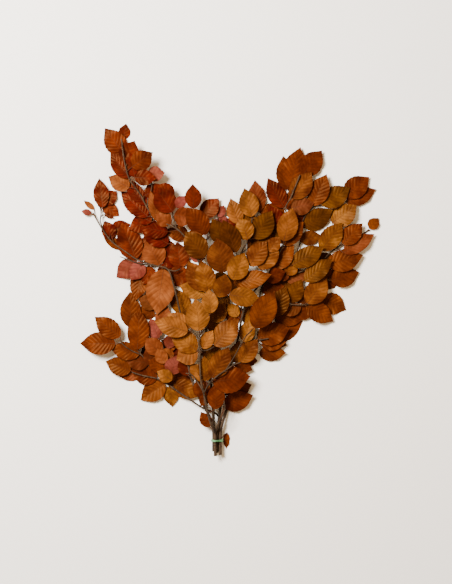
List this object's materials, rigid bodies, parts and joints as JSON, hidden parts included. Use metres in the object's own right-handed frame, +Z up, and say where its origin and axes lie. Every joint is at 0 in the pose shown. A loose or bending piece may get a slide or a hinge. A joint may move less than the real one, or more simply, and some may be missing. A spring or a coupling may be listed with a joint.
{
  "type": "tied bunch of beech branches",
  "caption": "Fan-shaped bunch of cut, preserved copper beech branches lying flat, with waved red, orange and golden-brown leaves and a green band round the stems.",
  "frame": {"origin": "middle of the underside of the flat leaf beneath the bunch, on the surface that it lies on", "axes": "+Z up, away from the surface; +Y from the cut stem ends towards the crown; +X to the right as the picture shows it"},
  "size_m": [0.6878, 0.7623, 0.066],
  "materials": {
    "leaf_red": "satin",
    "leaf_orange": "satin",
    "leaf_golden": "satin",
    "band_rubber": "matte"
  },
  "bodies": {
    "root": {"branch_lower_left": "leaf_red", "branch_left": "leaf_red", "branch_upper_left": "leaf_red", "branch_right": "leaf_orange", "branch_upper_middle": "leaf_orange", "branch_middle": "leaf_golden", "band": "band_rubber"}
  },
  "joints": []
}
